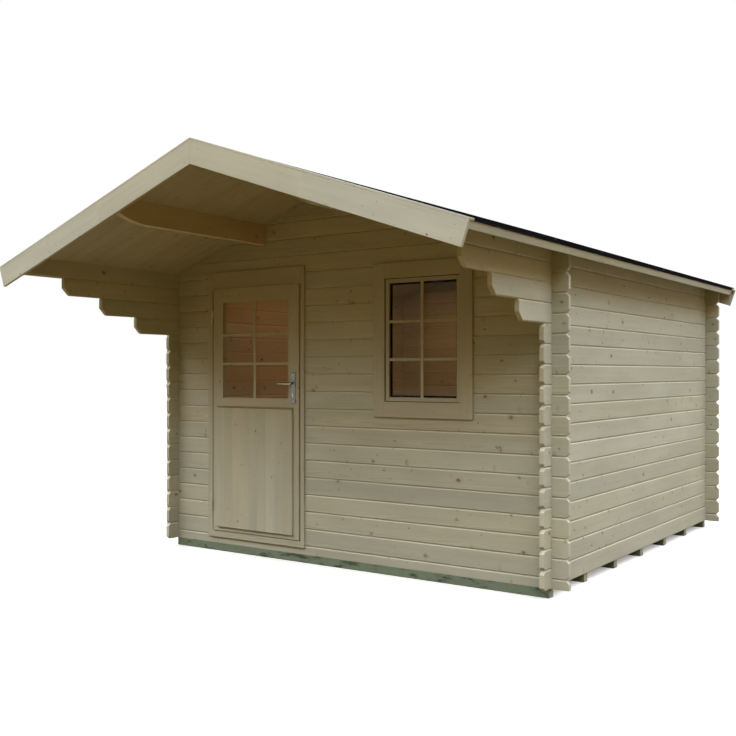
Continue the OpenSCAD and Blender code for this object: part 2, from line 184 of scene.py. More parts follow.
# %% Wiring helper
class Wiring:
    """The nodes of a material, or of the sky, under construction."""

    def __init__(self, owner):
        self.owner = owner
        owner.use_nodes = True
        self.tree = owner.node_tree
        self.tree.nodes.clear()

    def node(self, kind, inputs, output=0, **settings):
        """Adds a node, fills its inputs and gives back one output, or all of them where output is None."""
        made = self.tree.nodes.new("ShaderNode" + kind)
        for key, value in settings.items():
            setattr(made, key, value)
        for key, value in inputs.items():
            if isinstance(value, bpy.types.NodeSocket):
                self.tree.links.new(value, made.inputs[key])
            else:
                made.inputs[key].default_value = value
        if output is None or not len(made.outputs):
            return made.outputs
        return made.outputs[output]

    def place(self):
        """The place on the piece, in metres."""
        return self.node("TexCoord", {}, "Object")

    def math(self, operation, a, b=0.0):
        """One sum on one or two numbers."""
        return self.node("Math", {0: a, 1: b}, operation=operation)

    def plus(self, a, b):
        """a + b."""
        return self.math("ADD", a, b)

    def times(self, a, b):
        """a times b."""
        return self.math("MULTIPLY", a, b)

    def dot(self, vector, axis):
        """How far a vector reaches along an axis."""
        return self.node("VectorMath", {0: vector, 1: axis}, "Value", operation="DOT_PRODUCT")

    def join(self, x, y, z=0.0):
        """A vector, or a colour, from three numbers."""
        return self.node("CombineXYZ", {0: x, 1: y, 2: z})

    def noise(self, vector, scale, detail=2.0, roughness=0.5):
        """Soft noise around one half. scale is one number, or one for each axis."""
        if isinstance(scale, tuple):
            vector = self.node("VectorMath", {0: vector, 1: scale}, operation="MULTIPLY")
            scale = 1.0
        inputs = {"Vector": vector, "Scale": scale, "Detail": detail, "Roughness": roughness}
        return self.node("TexNoise", inputs, "Fac")

    def ease(self, value, low, high, start=0.0, end=1.0):
        """Goes smoothly from start to end as value goes from low to high."""
        inputs = {"Value": value, 1: low, 2: high, 3: start, 4: end}
        return self.node("MapRange", inputs, interpolation_type="SMOOTHSTEP")

    def mix(self, share, a, b, blend="MIX"):
        """Colour a where share is 0 and b where it is 1."""
        return self.node("Mix", {0: share, 6: a, 7: b}, 2, data_type="RGBA", blend_type=blend)

    def lit(self, colour, level):
        """A colour made lighter or darker: each part times level."""
        return self.mix(1.0, colour, self.join(level, level, level), "MULTIPLY")

    def bump(self, height, distance, strength=1.0):
        """Tilts the surface as a relief of that height would."""
        return self.node("Bump", {"Height": height, "Distance": distance, "Strength": strength})

    def surface(self, inputs):
        """Ends the graph in one Principled shader and gives back the material."""
        self.node("OutputMaterial", {"Surface": self.node("BsdfPrincipled", inputs)})
        return self.owner


def finish(name):
    """The wiring of a new material."""
    return Wiring(bpy.data.materials.new(name))


def shade(red, green, blue):
    """A solid colour, in linear light."""
    return (red, green, blue, 1.0)


# %% [markdown]
# ## Spruce
#
# A board is cut out of a trunk, so its grain is a solid pattern: rings around an axis that lies beside
# the board. On the long faces the rings come out as flames and lines, and on the sawn ends as arcs. Each
# ring is pale early wood that darkens slowly to a thin line of late wood. Fine fibres run along the board
# and roughen it.
#
# No two boards are alike, so each one gets a number, and the number gives three random shares that move
# the pattern and set the tone. Where boards lie side by side in one part, the number is the count of whole
# board widths from the start of the row.

# %% Spruce colours and board numbers
X, Y, Z = (1.0, 0.0, 0.0), (0.0, 1.0, 0.0), (0.0, 0.0, 1.0)
PALE = shade(0.484, 0.497, 0.418)
LATE = shade(0.372, 0.334, 0.228)
SAWN = shade(0.540, 0.541, 0.448)
KNOT = shade(0.250, 0.180, 0.100)
KNOT_RIM = shade(0.130, 0.092, 0.055)
SMEAR = shade(0.330, 0.265, 0.150)
TWIG = shade(0.110, 0.085, 0.058)
STAIN = shade(0.040, 0.052, 0.042)
WEATHERED = shade(0.180, 0.172, 0.150)
COOL = shade(1.006, 1.026, 1.044)
WARM = shade(0.996, 0.972, 0.930)


def board_number(w, place, rows, along):
    """The number of the board at a place, and where its middle lies across the grain."""
    if rows == "board":
        return w.node("Attribute", {}, "Fac", attribute_name="board"), 0.0
    if rows is None:
        return w.math("SIGN", along), 0.0
    direction, start, size = rows
    from_start = w.math("SUBTRACT", w.dot(place, direction), start)
    index = w.math("FLOOR", w.math("DIVIDE", from_start, size))
    return index, w.times(w.plus(index, 0.5), size)


# %% [markdown]
# Spruce has small brown knots with a dark rim. A branch sawn along its length leaves a tan smear instead,
# and a thin twig a dark dot. All three are cells of Voronoi patterns, most of them left empty. The
# distance from a cell's point, in radii, says how far out in the mark a place lies, and a little noise on
# the place makes the outlines ragged.
#
# Each row of the table has the cells per metre along and across, the share of cells that is used, the
# smallest and largest radius in cells, the distance over which the mark fades, and its weakest and
# strongest tone.

# %% Knots, smears and twigs
MARKS = {
    "knot": ((5.5, 7.0), 0.55, (0.036, 0.080), (0.75, 1.15), (0.30, 0.90)),
    "smear": ((8.5, 4.6), 0.80, (0.045, 0.125), (0.2, 1.2), (0.35, 0.85)),
    "twig": ((8.0, 10.0), 0.50, (0.022, 0.060), (0.6, 1.2), (0.45, 0.95)),
}
RAGGED = (55.0, 75.0, 75.0)
RAGGED_ALONG = 0.030
RAGGED_ACROSS = -0.016


def wood_marks(w, grain, u, a, amount):
    """How strongly each mark shows at a place, from 0 to 1, with the knot's core, rim and halo."""
    ragged = w.plus(w.noise(grain, RAGGED), -0.5)
    near_u = w.plus(u, w.times(ragged, RAGGED_ALONG))
    near_a = w.plus(a, w.times(ragged, RAGGED_ACROSS))
    marks = {}
    for name, (cells, share, radii, fade, tones) in MARKS.items():
        across = a if name == "twig" else near_a
        place = w.join(w.times(near_u, cells[0]), w.times(across, cells[1]))
        nearest = w.node("TexVoronoi", {"Vector": place, "Scale": 1.0}, None, voronoi_dimensions="2D")
        first, second, third = w.node("SeparateColor", {0: nearest["Color"]}, None)
        used = w.math("LESS_THAN", first, share * amount)
        radius = w.ease(w.math("POWER", second, 2.0), 0.0, 1.0, *radii)
        reach = w.math("DIVIDE", nearest["Distance"], radius)
        core = w.times(used, w.ease(reach, *fade, 1.0, 0.0))
        marks[name] = w.times(core, w.ease(third, 0.0, 1.0, *tones))
        if name == "knot":
            marks["core"] = core
            marks["rim"] = w.ease(reach, 0.45, 0.95)
            marks["halo"] = w.times(used, w.ease(reach, 0.9, 3.0, 1.0, 0.0))
    return marks


# %% [markdown]
# The ring number is the distance from the trunk's axis over the ring's width. Slow noise bends the axis,
# and the rings swerve round a knot. How deep the axis lies behind a board is random, within two limits.

# %% Year rings
RING = 0.0042
BEND = (0.8, 7.0, 7.0)
BEND_SIZE = 0.030
SWERVE = 0.007
AXIS_ASIDE = 0.09
AXIS_REPEATS = 2.0
AXIS_SHIFT = 0.8
AXIS_LEAST = 0.02
AXIS_REACH = 0.10
LATE_FROM = 0.35
LATE_PEAK = 0.92


def year_rings(w, side, through, third, grain, halo):
    """Late wood from 0 to 1: it grows through each ring to a thin line and drops at the next ring."""
    share = w.math("FRACT", w.plus(w.times(through, AXIS_REPEATS), w.times(third, AXIS_SHIFT)))
    depth = w.plus(w.times(share, AXIS_REACH), AXIS_LEAST)
    trunk = w.math("SQRT", w.plus(w.times(side, side), w.times(depth, depth)))
    bend = w.times(w.noise(grain, BEND), BEND_SIZE)
    trunk = w.plus(trunk, w.plus(bend, w.times(halo, SWERVE)))
    phase = w.math("FRACT", w.math("DIVIDE", trunk, RING))
    return w.times(w.ease(phase, LATE_FROM, LATE_PEAK), w.ease(phase, LATE_PEAK, 1.0, 1.0, 0.0))


# %% [markdown]
# Faces that slope up towards the sky are painted lighter, a painted highlight for the sky light that they
# catch, so a pale line runs along the top of every log. The top of a bargeboard has gone grey and a damp
# bearer has dark blotches. The side logs in front of the front wall have painted light on them.

# %% Spruce finish
FIBRE = (22.0, 520.0, 520.0)
STREAK = (1.3, 34.0, 34.0)
CLOUD = (1.6, 5.0, 5.0)
DRIFT = (0.7, 2.5, 2.5)
BLOTCH = (9.0, 26.0, 26.0)
LATE_SHARE, STREAK_SHARE, HALO_SHARE = 0.34, 0.20, 0.30
PAINTED_HIGHLIGHT = 0.20
GLOSS_SPREAD = 0.16
RELIEF = 0.0004
FRONT_Y = corners("front_long_even_logs")[0][1]


def spruce(name, axes, rows=None, pale=PALE, late=LATE, knots=0.50, spread=0.11, rough=0.66, stain=0.0,
           ends=0.5, weather=0.0, painted_lift=0.0):
    """Planed softwood. axes are the directions along, across and through the board.

    rows gives (direction, start, size) where boards of one size lie side by side in one node, "board"
    where the mesh numbers its boards, and nothing where the node is one board. knots is the share of
    marks and spread the difference in tone between boards. stain, ends, weather and painted_lift are the
    strengths of damp blotches, plain sawn ends, grey tops and the painted light on the side logs in front
    of the front wall.
    """
    w = finish(name)
    place = w.place()
    along, across, through = [w.dot(place, axis) for axis in axes]
    index, middle = board_number(w, place, rows, along)
    chance = w.node("TexWhiteNoise", {"W": index}, "Color", noise_dimensions="1D")
    first, second, third = w.node("SeparateColor", {0: chance}, None)
    u = w.plus(along, w.times(first, 9.0))
    a = w.plus(across, w.times(second, 5.0))
    grain = w.join(u, a, w.plus(through, w.times(third, 5.0)))
    marks = wood_marks(w, grain, u, a, knots)
    side = w.plus(w.math("SUBTRACT", across, middle), w.times(second, AXIS_ASIDE))
    line = year_rings(w, side, through, third, grain, marks["halo"])

    fibre = w.noise(grain, FIBRE)
    streak = w.ease(w.noise(grain, STREAK, 3.0, 0.6), 0.40, 0.75)
    dark = w.plus(w.times(line, LATE_SHARE), w.times(streak, STREAK_SHARE))
    dark = w.plus(dark, w.times(marks["halo"], HALO_SHARE))
    colour = w.mix(dark, pale, late)
    level = w.plus(w.times(first, spread), 1.0 - spread / 2)
    level = w.times(level, w.ease(w.noise(grain, CLOUD), 0.25, 0.75, 0.93, 1.06))
    level = w.times(level, w.ease(fibre, 0.2, 0.8, 0.96, 1.04))
    colour = w.lit(colour, level)
    drift = w.noise(grain, DRIFT, 1.0)
    tint = w.ease(w.plus(w.times(third, 0.5), w.times(drift, 0.5)), 0.2, 0.8)
    colour = w.mix(1.0, colour, w.mix(tint, COOL, WARM), "MULTIPLY")

    facing = w.node("NewGeometry", {}, "Normal")
    upward = w.dot(facing, Z)
    sawn = w.ease(w.math("ABSOLUTE", w.dot(facing, axes[0])), 0.7, 0.95)
    colour = w.mix(w.times(sawn, ends), colour, SAWN)
    colour = w.mix(marks["smear"], colour, SMEAR)
    colour = w.mix(marks["knot"], colour, w.mix(marks["rim"], KNOT, KNOT_RIM))
    colour = w.mix(marks["twig"], colour, TWIG)
    if stain:
        blotch = w.noise(grain, BLOTCH, 4.0, 0.65)
        colour = w.mix(w.ease(blotch, 0.50, 0.68, 0.0, stain), colour, STAIN)
    if weather:
        colour = w.mix(w.ease(upward, 0.75, 0.92, 0.0, weather), colour, WEATHERED)
    # Painted highlight: faces that slope up towards the sky are made lighter, for the sky light they
    # catch.
    painted_highlight = w.times(w.ease(upward, 0.3, 0.6), w.ease(upward, 0.85, 0.98, 1.0, 0.0))
    colour = w.lit(colour, w.plus(w.times(painted_highlight, PAINTED_HIGHLIGHT), 1.0))
    # Painted light: the side logs in front of the front wall are made lighter, for the light from the
    # front.
    if painted_lift:
        colour = w.lit(colour, w.ease(w.dot(place, Y), FRONT_Y - 0.002, FRONT_Y + 0.010, 1.0 + painted_lift, 1.0))

    gloss = w.plus(w.times(fibre, GLOSS_SPREAD), rough - GLOSS_SPREAD / 2)
    height = w.plus(w.times(line, 0.5), w.times(fibre, 0.6))
    height = w.plus(height, w.times(marks["core"], -0.6))
    return w.surface({
        "Base Color": colour, "Roughness": gloss, "Specular IOR Level": 0.12,
        "Normal": w.bump(height, RELIEF, 0.7),
    })


# %% [markdown]
# Every way of cutting a board has a finish of its own: logs along the sides and across the ends, upright
# and level joinery, the staves of the door, boards down either slope, purlins and floor. The bearers lie
# on damp ground, so they are pressure treated, which leaves a green tint in the wood.

# %% Kinds of spruce
JOINERY = shade(0.484, 0.484, 0.394)
EAVE = shade(0.482, 0.507, 0.441)
FACING = shade(0.505, 0.512, 0.432)
SOFFIT, SOFFIT_LATE = shade(0.462, 0.438, 0.300), shade(0.375, 0.325, 0.190)
PURLIN, PURLIN_LATE = shade(0.640, 0.545, 0.375), shade(0.470, 0.360, 0.205)
GREEN, GREEN_LATE = shade(0.205, 0.262, 0.188), shade(0.120, 0.165, 0.112)
STAVES = 9
END_START = BEARER - LOG_H / 2
BEARER_ROWS = (Y, -1.6, 0.25)

panel_low, panel_high = corners("door_panel")
stave_rows = (X, panel_low[0], (panel_high[0] - panel_low[0]) / STAVES)
side_logs = spruce("spruce_side_logs", (Y, Z, X), (Z, BEARER, LOG_H), painted_lift=0.09)
end_logs = spruce("spruce_end_logs", (X, Z, Y), (Z, END_START, LOG_H))
upright = spruce("spruce_upright", (Z, X, Y), None, JOINERY, knots=0.14, spread=0.08)
level_x = spruce("spruce_level_x", (X, Z, Y), None, JOINERY, knots=0.14, spread=0.08)
level_y = spruce("spruce_level_y", (Y, Z, X), None, EAVE, knots=0.2, spread=0.08)
panel = spruce("spruce_staves", (Z, X, Y), stave_rows, JOINERY, knots=0.22, spread=0.12)
slopes, roof_wood = {}, {}
for hand, side in SIDES.items():
    down = (side * DOWN[0], 0.0, DOWN[2])
    out = (side * OUT[0], 0.0, OUT[2])
    slopes[hand] = spruce(
        "spruce_slope_" + hand, (down, out, Y), None, FACING, knots=0.2, spread=0.05, weather=0.7
    )
    roof_wood[hand] = spruce(
        "spruce_roof_" + hand, (down, Y, out), "board", SOFFIT, SOFFIT_LATE, knots=0.36, spread=0.05
    )
purlins = spruce("spruce_purlins", (Y, Z, X), None, PURLIN, PURLIN_LATE, knots=0.25, ends=0.0)
# Painted shade: the right purlin gets the darker soffit tone, so that its end below the bargeboard reads
# as shade.
purlin_painted_shade = spruce("spruce_purlin_painted_shade", (Y, Z, X), None, SOFFIT, SOFFIT_LATE, knots=0.25, ends=0.0)
boards_floor = spruce("spruce_floor", (Y, X, Z), "board", knots=0.3)
treated = spruce(
    "treated_timber", (X, Z, Y), BEARER_ROWS, GREEN, GREEN_LATE, knots=0.3, spread=0.30, rough=0.8,
    stain=0.85,
)

# %% [markdown]
# ## The other finishes
#
# The roof is covered with mineral felt: bitumen with dark stone grit pressed into it. Rain leaves streaks
# down the slope, and the grit wears off above each lap. The fittings are satin steel with a faint brushed
# grain. The panes are clear glass with black rubber seals. Strips of black, brown and tan rubber finish
# are
# also painted shade: dark gap lines round the sash, at the door and in the key slit.

# %% Felt, steel, glass, seal and painted shade finishes
GRIT = 620.0
GRIT_TONE = 900.0
PATCH = (2.0, 0.7, 2.0)
RAIN = (1.2, 9.0, 1.2)


def mineral_felt():
    """Near-black grit: the levels of grains, patches, rain streaks and worn dust, added up."""
    w = finish("mineral_felt")
    place = w.place()
    grit = w.node("TexVoronoi", {"Vector": place, "Scale": GRIT}, "Distance")
    grains = w.times(w.ease(w.noise(place, GRIT_TONE, 1.0), 0.5, 0.8), 0.007)
    patch = w.noise(place, PATCH, 3.0)
    streak = w.noise(place, RAIN, 3.0)
    level = w.plus(grains, w.ease(patch, 0.3, 0.7, 0.0008, 0.0030))
    level = w.plus(level, w.ease(streak, 0.35, 0.75, 0.0006, 0.0042))
    worn = w.node("Attribute", {}, "Fac", attribute_name="worn")
    dust = w.ease(w.noise(place, 18.0, 3.0), 0.3, 0.7, 0.010, 0.042)
    level = w.plus(level, w.times(worn, dust))
    colour = w.join(level, level, w.times(level, 1.02))
    normal = w.bump(grit, 0.0009, 0.8)
    return w.surface({"Base Color": colour, "Roughness": 1.0, "Normal": normal, "Specular IOR Level": 0.0})


def satin_steel(name, colour, rough, brush, metallic=1.0):
    """Steel with fine lines, from noise stretched by brush, and a slow haze in tone and gloss."""
    w = finish(name)
    place = w.place()
    brushed = w.noise(place, brush, 3.0)
    haze = w.noise(place, 45.0, 2.0)
    gloss = w.plus(w.times(brushed, 0.18), w.ease(haze, 0.3, 0.7, rough - 0.12, rough))
    duller = shade(*[0.88 * part for part in colour[:3]])
    tone = w.mix(w.ease(haze, 0.3, 0.7), colour, duller)
    normal = w.bump(brushed, 0.00005, 0.5)
    return w.surface({"Base Color": tone, "Roughness": gloss, "Metallic": metallic, "Normal": normal})


def clear_glass():
    """Clear panes with a slight wave and a little dust. The low IOR keeps reflections faint."""
    w = finish("clear_glass")
    place = w.place()
    wave = w.noise(place, (5.0, 5.0, 3.0), 1.0)
    dust = w.ease(w.noise(place, 30.0, 4.0), 0.45, 0.8, 0.0, 0.035)
    return w.surface({
        "Base Color": shade(0.96, 0.98, 0.97), "Roughness": dust, "Normal": w.bump(wave, 0.0006, 0.25),
        "IOR": 1.09, "Transmission Weight": 1.0,
    })


def rubber_and_painted_shade(name, red, green, blue):
    """Dull rubber with fine specks, for seals and for strips of painted shade."""
    w = finish(name)
    speck = w.noise(w.place(), 700.0, 2.0)
    colour = w.lit(shade(red, green, blue), w.ease(speck, 0.3, 0.7, 0.7, 1.3))
    normal = w.bump(speck, 0.0001, 0.4)
    return w.surface({"Base Color": colour, "Roughness": 0.9, "Normal": normal, "Specular IOR Level": 0.0})


felt = mineral_felt()
steel = satin_steel("satin_steel", shade(0.105, 0.110, 0.092), 0.42, (60.0, 60.0, 900.0))
lever_steel = satin_steel("satin_lever", shade(0.165, 0.145, 0.098), 0.40, (900.0, 60.0, 60.0))
zinc = satin_steel("zinc_nails", shade(0.30, 0.29, 0.25), 0.55, (300.0, 300.0, 300.0))
hinge_steel = satin_steel("zinc_hinge", shade(0.600, 0.560, 0.450), 0.7, (60.0, 60.0, 500.0), 0.0)
glass = clear_glass()
# The black finish makes real seals and also the painted shadow round the sash and in the key slit; the
# brown and tan ones are painted shade at the door.
seal = rubber_and_painted_shade("black_seal_and_painted_shade", 0.012, 0.012, 0.012)
brown_painted_shadow = rubber_and_painted_shade("brown_painted_shadow", 0.130, 0.092, 0.052)
tan_painted_shade = rubber_and_painted_shade("tan_painted_shade", 0.300, 0.240, 0.155)
print("%d finishes" % len(bpy.data.materials))

# %% [markdown]
# ## Finishes for the joiner's parts
#
# The grain of each part follows the way its board was cut: down the slope on a bargeboard, upright on a
# stile, level on a rail. Planed edges are never sharp, so the wood gets a small round on every edge. A row
# of the table has a finish, the width of that round and the parts that wear both. The solids come as loose
# triangles, so they are welded and their flat faces merged first.

# %% Finishes and eased edges
LOG_EASE, EASE, SASH_EASE, BEARER_EASE = 0.0012, 0.002, 0.004, 0.003


def logs(*walls):
    """The names of the logs in some walls, which lie in even and odd courses."""
    return ["%s_%s_logs" % (wall, course) for wall in walls for course in ("even", "odd")]


CUTS = (
    (side_logs, LOG_EASE, logs("left_wall", "right_wall")),
    (end_logs, LOG_EASE, logs("back_wall", "front_long", "front_left", "front_right")),
    (upright, EASE, ["window_trim_sides", "window_lining_sides", "door_jambs", "door_stops",
                     "door_stiles"]),
    (upright, SASH_EASE, ["window_sash_stiles"]),
    (level_x, EASE, ["window_trim_rails", "window_lining_rails", "door_head", "door_sill", "door_rails"]),
    (level_x, SASH_EASE, ["window_sash_rails"]),
    (level_y, EASE, ["floor", "eave_fascia_left", "eave_fascia_right"]),
    (panel, EASE, ["door_panel"]),
    (slopes["left"], EASE, ["roof_deck_left", "bargeboards_left", "verge_caps_left"]),
    (slopes["right"], EASE, ["roof_deck_right", "bargeboards_right", "verge_caps_right"]),
    (purlins, EASE, ["purlin_left"]),
    (purlin_painted_shade, EASE, ["purlin_right"]),
    (treated, BEARER_EASE, ["bearers"]),
    (felt, None, ["roof_felt_left", "roof_felt_right"]),
    (glass, None, ["window_glass", "door_glass"]),
    (hinge_steel, None, ["door_hinge_pins", "door_hinge_knuckles"]),
    (steel, None, ["door_handle_plates", "door_lever"]),
)


def ease_edges(piece, width):
    """Rounds the sharp edges of a solid made of loose triangles."""
    weld = piece.modifiers.new("weld", "WELD")
    weld.merge_threshold = 0.00002
    flat = piece.modifiers.new("flat", "DECIMATE")
    flat.decimate_type = "DISSOLVE"
    flat.angle_limit = math.radians(1.0)
    round_off = piece.modifiers.new("round", "BEVEL")
    round_off.width = width
    round_off.segments = 2
    round_off.limit_method = "ANGLE"
    round_off.angle_limit = math.radians(30.0)
    round_off.use_clamp_overlap = True


cuts = {name: (material, width) for material, width, names in CUTS for name in names}
for name, piece in nodes.items():
    material, width = cuts[name]
    piece.data.materials.clear()
    piece.data.materials.append(material)
    if width:
        ease_edges(piece, width)
print("finished %d joiner's parts" % len(nodes))

# %% [markdown]
# ## Roof boards
#
# The roof is boarded from the ridge to the eaves with tongued boards about 96 mm wide. Their lower edges
# are bevelled, so a small V shows between them from under the canopy. Each board is one profile, drawn
# twice: at the ridge, where it is cut plumb, and at the eaves.

# %% Roof boards
BOARD_W = 0.096
BOARD_V = 0.0025
BOARD_GAP = 0.0004


def roof_boards(hand):
    """Boards down one slope: a six-point profile in (along the ridge, square to the roof)."""
    y0, y1 = deck_low[1], deck_high[1]
    count = round((y1 - y0) / BOARD_W)
    width = (y1 - y0) / count
    v, g = BOARD_V, BOARD_GAP / 2
    across = np.array([g + v, width - g - v, width - g, width - g, g, g])
    up = np.array([0.0, 0.0, v, DECK_T, DECK_T, v])
    y = y0 + width * np.arange(count)[:, None, None] + across
    top = np.broadcast_to(-up * math.tan(PITCH) + HAIR, y.shape)
    foot = np.full(y.shape, DECK_S)
    s = np.concatenate([top, foot], axis=1)
    rings = on_roof(SIDES[hand], s, np.repeat(y, 2, axis=1), np.broadcast_to(up, s.shape))
    piece = sticks("roof_boards_" + hand, rings, roof_wood[hand])
    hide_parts("roof_deck_" + hand)


for hand in SIDES:
    roof_boards(hand)

# %% [markdown]
# ## Floor boards
#
# The floor inside is boarded from front to back over the bearers. The boards have the same small V, on
# top this time.

# %% Floor boards
FLOOR_W = 0.118
FLOOR_GAP = 0.0006
FLOOR_V = 0.002
floor_low, floor_high = corners("floor")
count = round((floor_high[0] - floor_low[0]) / FLOOR_W)
edges = np.linspace(floor_low[0], floor_high[0], count + 1)
lows = np.tile(floor_low, (count, 1))
highs = np.tile(floor_high, (count, 1))
lows[:, 0] = edges[:-1] + FLOOR_GAP / 2
highs[:, 0] = edges[1:] - FLOOR_GAP / 2
floor_boards = sticks("floor_boards", bars(lows, highs, 1, FLOOR_V), boards_floor)
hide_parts("floor")

# %% [markdown]
# ## Mineral felt
#
# Felt comes in rolls one metre wide. The strips run along the ridge and each one laps over the strip
# below it, so the roof steps up a little at every lap. A last strip is folded over the ridge.
#
# The surface is a height over two directions. It drops by one felt's thickness at each lap, along a
# slightly wavy edge, and grows slowly down to the next. At the back, the felt runs up over a batten that
# keeps rain from the edge. Over the ridge it makes a soft roll, which grows towards the back.

# %% Height of the felt
LAPS = (0.170, 0.640, 1.210)
LAP_WAVES = ((0.0025, 2.3, 1.7), (0.0015, 7.1, 1.0))
LAP_STEP = 0.0026
LAP_RUN = 0.002
LAP_FADE = 0.45
SHEET_T = 0.0022
RIPPLE = 0.00025
MOST = FELT_T + 0.001
CAP_T = 0.012
BATTEN_T = 0.010
BATTEN_COVER = 0.0024
RISE_RUN = 0.02
ROLL_FRONT = 0.003
ROLL_GROWTH = 0.020
ROLL_HALF = 0.060
caps_low, caps_high = corners("verge_caps_right")
BACK_RISE = felt_high[1] - 0.024


def lap_edge(k, y):
    """Where lap k ends down the slope: a straight line along the ridge, with two small waves on it."""
    return LAPS[k] + sum(size * np.sin(rate * y + shift * k) for size, rate, shift in LAP_WAVES)


def felt_height(s, y):
    """Height of the felt above the boards at s down the slope: a slow rise and a drop at each lap."""
    height = np.full(np.broadcast(s, y).shape, SHEET_T)
    for k in range(len(LAPS)):
        above = lap_edge(k, y) - s
        over = np.clip(above / LAP_RUN, 0.0, 1.0)
        fade = np.clip(1.0 - above / LAP_FADE, 0.0, 1.0) if k else 1.0
        height = height + over * LAP_STEP * fade
    ripple = RIPPLE * np.sin(11.0 * y + 3.0 * s) * np.sin(4.0 * s + 1.0)
    height = np.minimum(height + ripple, MOST)
    step = np.clip((y - BACK_RISE) / RISE_RUN, 0.0, 1.0)
    rise = step * step * (3.0 - 2.0 * step)
    height = height * (1.0 - rise) + (CAP_T + BATTEN_T + BATTEN_COVER) * rise
    backward = (y - felt_low[1]) / (caps_high[1] - felt_low[1])
    roll = (ROLL_FRONT + ROLL_GROWTH * backward) * np.exp(-((s / ROLL_HALF) ** 2))
    return height + roll * (1.0 - rise)


# %% [markdown]
# The sheet is that height on a grid, once for its top and once, one thickness lower, for its underside,
# with a wall of faces round the rim. The grid is finer at the laps. Each point also keeps how worn it is:
# a narrow band on the flat above every lap.

# %% Felt sheets
WORN_UP = 0.016
WORN_HALF = 0.005
BACK_LIP = 0.003
RIDGE_LAP = 0.003
ROWS, FINE_ROWS = 60, ((-0.012, 0.012, 25), (-0.034, -0.014, 8))
COLUMNS, RISE_COLUMNS = 140, 16


def felt_sheet(hand):
    """Felt on one slope: the height above the boards, on a grid of s down the slope and y along it."""
    side = SIDES[hand]
    y0, y1 = felt_low[1], caps_high[1] + BACK_LIP
    start = -(DECK_T + RIDGE_LAP) * math.tan(PITCH)
    fine = [np.linspace(lap + low, lap + high, count) for low, high, count in FINE_ROWS for lap in LAPS]
    s = np.unique(np.concatenate([np.linspace(start, FELT_S, ROWS)] + fine))
    flat_y = np.linspace(y0, BACK_RISE, COLUMNS)[:-1]
    y = np.concatenate([flat_y, np.linspace(BACK_RISE, y1, RISE_COLUMNS)])
    grid_s, grid_y = np.meshgrid(s, y, indexing="ij")
    height = felt_height(grid_s, grid_y)
    top = on_roof(side, grid_s, grid_y, DECK_T + height)
    under = on_roof(side, grid_s, grid_y, DECK_T + np.maximum(HAIR, height - SHEET_T))
    points = np.stack([top, under])
    points[..., 0] = np.where(grid_s <= start, 0.0, points[..., 0])
    rows, columns = grid_s.shape
    index = np.arange(rows * columns).reshape(rows, columns)
    quads = np.stack([index[:-1, :-1], index[1:, :-1], index[1:, 1:], index[:-1, 1:]], -1).reshape(-1, 4)
    rim = np.concatenate([index[0, :], index[1:, -1], index[-1, -2::-1], index[-2:0:-1, 0]])
    after = np.roll(rim, -1)
    wall = np.stack([rim, after, after + index.size, rim + index.size], -1)
    faces = np.concatenate([quads, quads[:, ::-1] + index.size, wall])
    above = [lap_edge(k, grid_y) - grid_s - WORN_UP for k in range(len(LAPS))]
    worn = sum(np.exp(-((band / WORN_HALF) ** 2)) for band in above)
    numbers = ("worn", np.stack([worn, worn]))
    piece = new_piece("felt_" + hand, points, faces.tolist(), felt, numbers)
    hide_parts("roof_felt_" + hand)


for hand in SIDES:
    felt_sheet(hand)

# %% [markdown]
# The batten lies on the cap strip at the back, down both slopes. Its profile is a rectangle with eased
# edges, carried from the ridge to the eaves.

# %% Back battens
BATTEN_EASE = 0.002
BATTEN_START = 0.002


def back_batten(hand):
    """A batten down one slope: a six-point profile in (along the ridge, square to the roof)."""
    y0, y1 = felt_high[1] + BATTEN_START, caps_high[1]
    foot, top = DECK_T + CAP_T + TOUCH, DECK_T + CAP_T + BATTEN_T
    y = np.array([y0, y1, y1, y1 - BATTEN_EASE, y0 + BATTEN_EASE, y0])
    n = np.array([foot, foot, top - BATTEN_EASE, top, top, top - BATTEN_EASE])
    s = np.stack([-n * math.tan(PITCH) + HAIR, np.full(6, FELT_S)])
    rings = on_roof(SIDES[hand], s, y[None], n[None])[None]
    sticks("back_batten_" + hand, rings, slopes[hand])


for hand in SIDES:
    back_batten(hand)

# %% [markdown]
# ## Glazing bars
#
# The door and the window each have one upright bar and two level bars, which make six panes. The bars are
# a loose grid that clips in flush with the front of the frame, a little way in front of the glass. A black
# seal holds the window's glass, and thin wooden beads hold the door's.

# %% Glazing bars and seals
UPRIGHT_BAR = 0.022
LEVEL_BAR = 0.018
BAR_T = 0.009
BAR_EASE = 0.003
SEAL_W = 0.003
SEAL_RISE = 0.0013


def hoop(low, high, width):
    """Rings of four bars that make a frame of that width in the plane of X and Z."""
    (x0, y0, z0), (x1, y1, z1) = low, high
    foot, head = z0 + width, z1 - width
    level = bars([[x0, y0, z0], [x0, y0, head]], [[x1, y1, foot], [x1, y1, z1]], 0, HAIR)
    lows, highs = [[x0, y0, foot], [x1 - width, y0, foot]], [[x0 + width, y1, head], [x1, y1, head]]
    return np.concatenate([level, bars(lows, highs, 2, HAIR)])


